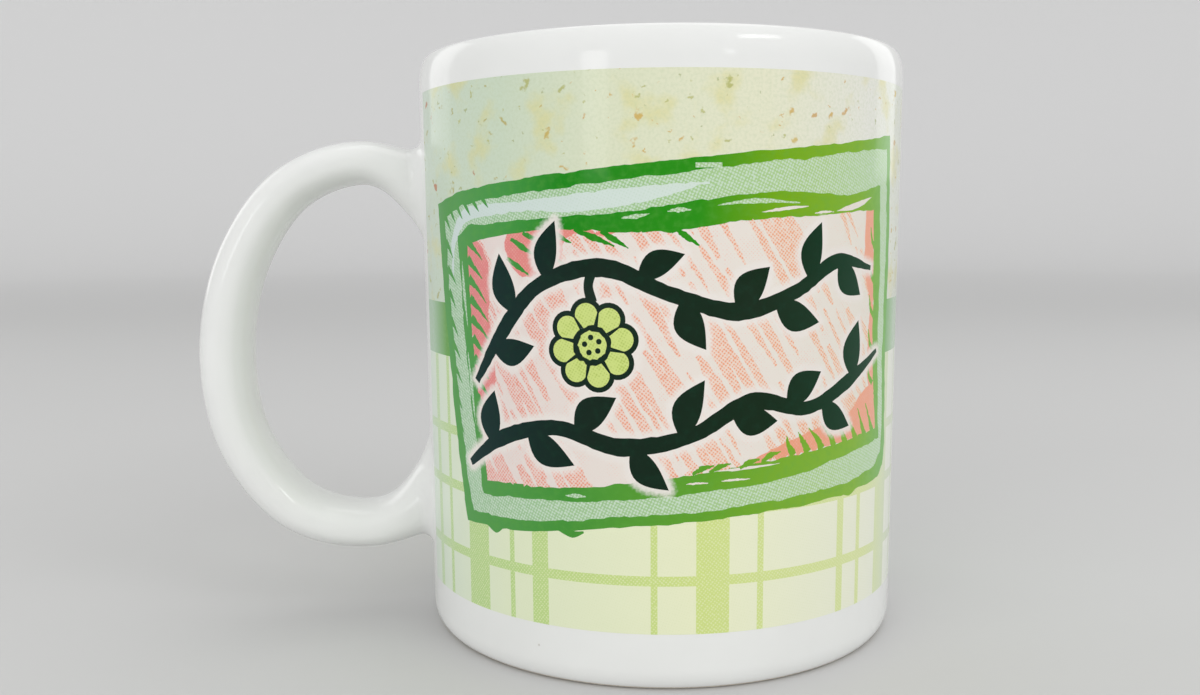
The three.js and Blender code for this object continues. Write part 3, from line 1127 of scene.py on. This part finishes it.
def paper_ink():
    ink = Ink("speckled_paper")
    base = ink.gradient((-55, 206, 220, 206), (-30, 206, 220, 198), (-12, 222, 226, 198),
                        (10, 230, 230, 204), (30, 234, 234, 226), (50, 222, 228, 216))
    stain = ink.between(ink.grain(0.16, 4), 0.5, 0.72, 0.0, 0.6)
    color = ink.mix(stain, base, srgb(220, 214, 142))
    cloud = ink.between(ink.grain(2.2, 5), 0.35, 0.75, 0.0, 0.25)
    color = ink.mix(cloud, color, srgb(186, 200, 160))
    bark = ink.gradient((-55, 188, 108, 62), (-32, 188, 108, 62), (-22, 200, 152, 70), (40, 204, 158, 88))
    straw = ink.gradient((-55, 170, 166, 96), (-32, 178, 168, 86), (-18, 204, 164, 62), (40, 208, 168, 84))
    moss = srgb(176, 178, 100)
    color = flecks(ink, color, 0.6, 0.3, 0.16, [srgb(184, 186, 116), straw, srgb(170, 178, 124)])
    color = flecks(ink, color, 0.3, 0.34, 0.19, [bark, straw, moss, straw, srgb(206, 178, 92)])
    return ink.finish(color)


def ribbon_ink():
    ink = Ink("green_ribbon")
    # The pale stops at both ends are painted reflection haze near the wall's left and right edges as seen
    # from the front; between them is the ribbon's own green.
    base = ink.gradient((-52, 176, 202, 178), (-45.5, 100, 160, 74), (-30, 100, 158, 72),
                        (38, 120, 176, 104), (44, 192, 214, 190))
    tone = ink.between(ink.grain(1.4, 4), 0.3, 0.7, 0.0, 0.2)
    return ink.finish(ink.mix(tone, base, srgb(140, 186, 116)))


def plaid_ground_ink():
    ink = Ink("plaid_ground")
    # The bluer, less yellow stops at both ends are partly painted reflection haze near the wall's edges as
    # seen from the front; the rest is the plaid's own colour change.
    base = ink.gradient((-55, 216, 229, 216), (-30, 226, 234, 202), (0, 234, 237, 202),
                        (32, 236, 238, 220), (44, 236, 239, 228))
    dots = ink.dots(DOT_PITCH, 18, 0.22)
    return ink.finish(ink.dotted(base, srgb(210, 220, 164), 0.12, dots))


def plaid_stripe_ink():
    ink = Ink("plaid_stripes")
    # The paler, greyer stops at both ends are painted reflection haze near the wall's edges as seen from the
    # front; between them is the stripes' own colour change.
    base = ink.gradient((-55, 196, 220, 188), (-44, 186, 214, 150), (-30, 186, 215, 142),
                        (0, 208, 223, 138), (32, 218, 228, 168), (42, 214, 225, 200))
    dots = ink.dots(DOT_PITCH, 38, ink.between(ink.grain(2.5), 0.3, 0.7, 0.2, 0.34))
    return ink.finish(ink.dotted(base, srgb(230, 236, 192), 0.6, dots))


def frame_ink():
    ink = Ink("frame_green")
    # The lighter, bluer stops at both ends of both gradients are painted reflection haze near the wall's
    # edges as seen from the front; between them is the frame's own colour change.
    base = ink.gradient((-48, 92, 158, 88), (-30, 70, 152, 70), (-20, 20, 134, 14), (0, 36, 142, 6),
                        (12, 116, 170, 10), (28, 132, 180, 50), (40, 124, 184, 104))
    low = ink.gradient((-48, 92, 158, 88), (-20, 76, 152, 62), (4, 112, 168, 44),
                       (28, 138, 184, 66), (40, 124, 184, 104))
    base = ink.mix(ink.between(ink.v, 46, 30, 0.0, 0.75), base, low)
    tone = ink.between(ink.grain(0.9, 5), 0.4, 0.75, 0.0, 0.25)
    return ink.finish(ink.faded(ink.mix(tone, base, srgb(96, 166, 66))))


def border_ink():
    ink = Ink("dotted_border")
    # The bluer stops at the ends, palest at the right, are painted reflection haze near the wall's edges as
    # seen from the front; between them is the border's own colour change.
    base = ink.gradient((-48, 158, 196, 160), (-10, 160, 198, 144), (20, 174, 206, 140), (40, 186, 216, 174))
    dots = ink.dots(BORDER_PITCH, 24, ink.between(ink.grain(1.2), 0.3, 0.7, 0.3, 0.42))
    return ink.finish(ink.faded(ink.dotted(base, srgb(206, 224, 206), 0.85, dots)))


def border_light_ink():
    ink = Ink("border_light")
    base = ink.gradient((-48, 208, 222, 220), (0, 212, 226, 216), (40, 216, 228, 216))
    dots = ink.dots(BORDER_PITCH, 24, 0.24)
    return ink.finish(ink.faded(ink.dotted(base, srgb(188, 212, 190), 0.3, dots)))


def field_ink():
    ink = Ink("panel_field")
    base = ink.gradient((-40, 232, 218, 214), (-10, 233, 224, 216), (36, 232, 227, 216))
    dots = ink.dots(BLUSH_PITCH, 45, ink.between(ink.grain(0.3, 3), 0.4, 0.7, 0.0, 0.24))
    return ink.finish(ink.faded(ink.dotted(base, srgb(238, 176, 156), 0.4, dots)))


def hatching_ink():
    ink = Ink("hatching")
    ground = ink.gradient((-40, 236, 208, 203), (0, 238, 215, 201), (36, 238, 220, 203))
    spots = ink.gradient((-40, 229, 150, 143), (-10, 236, 160, 131), (36, 237, 178, 136))
    dots = ink.dots(DOT_PITCH, 38, ink.between(ink.grain(0.7, 3), 0.3, 0.7, 0.27, 0.39))
    return ink.finish(ink.faded(ink.mix(dots, ground, spots)))


def blush_ink():
    ink = Ink("salmon_blush")
    base = ink.gradient((-40, 226, 138, 140), (-10, 232, 140, 126), (12, 236, 160, 128), (36, 240, 174, 148))
    dots = ink.dots(BLUSH_PITCH, 45, ink.between(ink.grain(0.8), 0.3, 0.7, 0.1, 0.34))
    return ink.finish(ink.faded(ink.dotted(base, srgb(240, 190, 176), 0.4, dots)))


def dark_ink():
    ink = Ink("dark_ink")
    # The teal stops at both ends are partly the ink's own colour and partly a painted reflection near the
    # wall's edges as seen from the front.
    base = ink.gradient((-40, 0, 44, 44), (-16, 0, 32, 18), (10, 0, 36, 10), (36, 2, 64, 38))
    tone = ink.between(ink.grain(0.7, 5), 0.45, 0.8, 0.0, 0.4)
    return ink.finish(ink.mix(tone, base, srgb(2, 54, 34)))


def blossom_ink():
    ink = Ink("blossom_lime")
    base = ink.gradient((-40, 206, 222, 132), (36, 204, 220, 128))
    dots = ink.dots(DOT_PITCH, 30, ink.between(ink.grain(0.6), 0.35, 0.7, 0.1, 0.4))
    return ink.finish(ink.dotted(base, srgb(166, 190, 78), 0.6, dots))


def ink_materials():
    makers = (paper_ink, ribbon_ink, plaid_ground_ink, plaid_stripe_ink, frame_ink, border_ink,
              border_light_ink, field_ink, hatching_ink, blush_ink, dark_ink, blossom_ink)
    return {material.name: material for material in (make() for make in makers)}


make_print()
